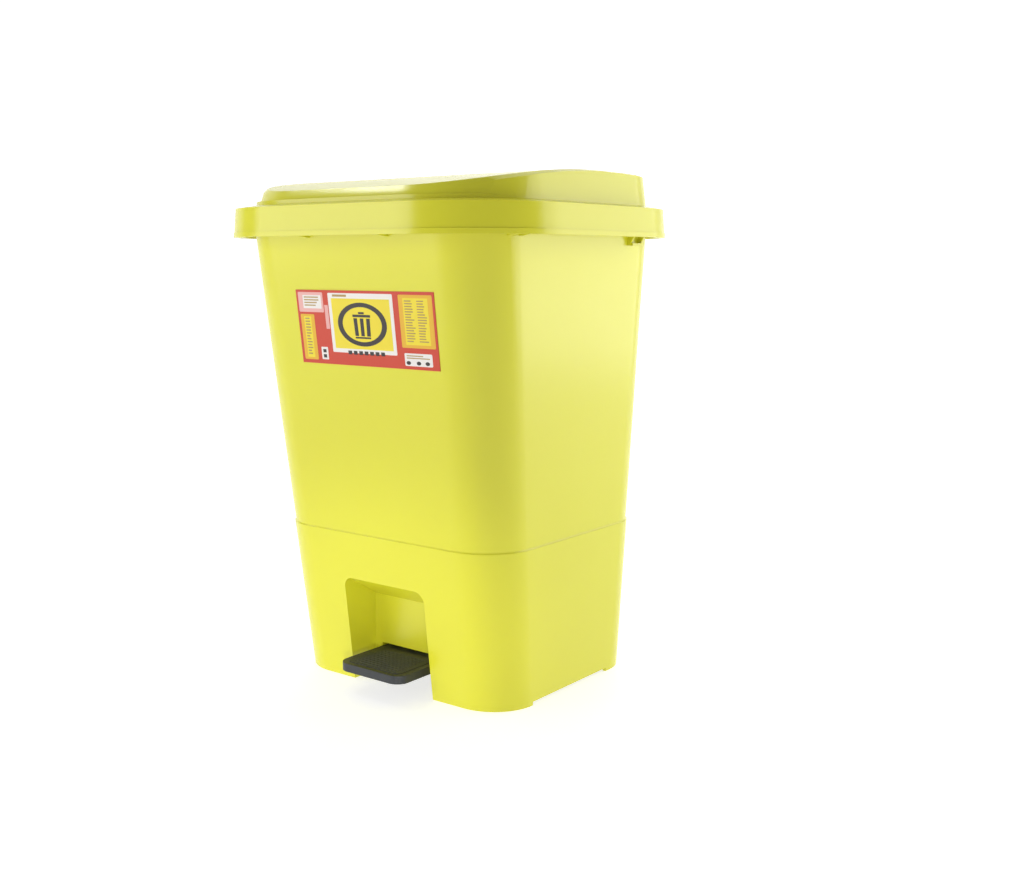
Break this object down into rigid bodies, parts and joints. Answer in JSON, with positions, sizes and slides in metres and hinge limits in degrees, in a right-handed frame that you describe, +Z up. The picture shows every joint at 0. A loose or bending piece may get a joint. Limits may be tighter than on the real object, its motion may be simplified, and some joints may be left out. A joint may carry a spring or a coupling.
{
  "type": "pedal bin",
  "caption": "Free-standing tapered pedal bin with a domed hinged lid, opened by a foot lever through a push rod, with a lift-out inner bucket.",
  "frame": {"origin": "middle of the overall box, at the ground under the foot pads", "axes": "+X across the front, -Y to the pedal, +Z up"},
  "size_m": [0.315, 0.305, 0.43],
  "materials": {
    "yellow_plastic": "smooth moulded, glossy",
    "bucket_plastic": "smooth moulded, satin",
    "black_plastic": "fine moulded texture",
    "tread_rubber": "ribbed, matt",
    "rubber": "matt",
    "zinc_steel": "bright zinc plated",
    "label_film": "printed vinyl film"
  },
  "bodies": {
    "body": {"body_shell": "yellow_plastic", "hinge_pin_left": "zinc_steel", "hinge_pin_right": "zinc_steel", "hinge_pin_caps": "zinc_steel", "axle_bracket_left": "yellow_plastic", "axle_bracket_right": "yellow_plastic", "axle_bracket_screws": "zinc_steel", "pedal_axle": "zinc_steel", "axle_clips": "zinc_steel", "rod_grommet": "rubber", "rod_guide": "black_plastic", "foot_pads": "rubber", "front_label": "label_film"},
    "bucket": {"inner_bucket": "bucket_plastic"},
    "lid": {"lid_shell": "yellow_plastic", "lift_bracket": "black_plastic", "lift_bracket_screws": "zinc_steel", "lid_bumpers": "rubber"},
    "lever": {"pedal_lever": "black_plastic", "pedal_pad": "tread_rubber"},
    "rod": {"push_rod": "zinc_steel", "rod_top_clip": "zinc_steel", "rod_bottom_clip": "zinc_steel"}
  },
  "joints": [
    {"name": "lid_open", "type": "hinge", "parent": "body", "child": "lid", "pos_m": [0, 0.1395, 0.382], "axis": [-1, 0, 0], "range_deg": [0, 68]},
    {"name": "pedal_press", "type": "hinge", "parent": "body", "child": "lever", "pos_m": [0, -0.038, 0.022], "axis": [1, 0, 0], "range_deg": [0, 12.2]},
    {"name": "rod_swing", "type": "hinge", "parent": "lever", "child": "rod", "pos_m": [0, 0.10947, 0.0095], "axis": [-1, 0, 0], "range_deg": [0, 12.2]},
    {"name": "bucket_lift", "type": "slide", "parent": "body", "child": "bucket", "axis": [0, 0, 1], "range_m": [0, 0.004]}
  ],
  "couplings": [
    {"joint": "pedal_press", "follows": "lid_open", "ratio": 0.17941},
    {"joint": "rod_swing", "follows": "lid_open", "ratio": 0.17941}
  ]
}
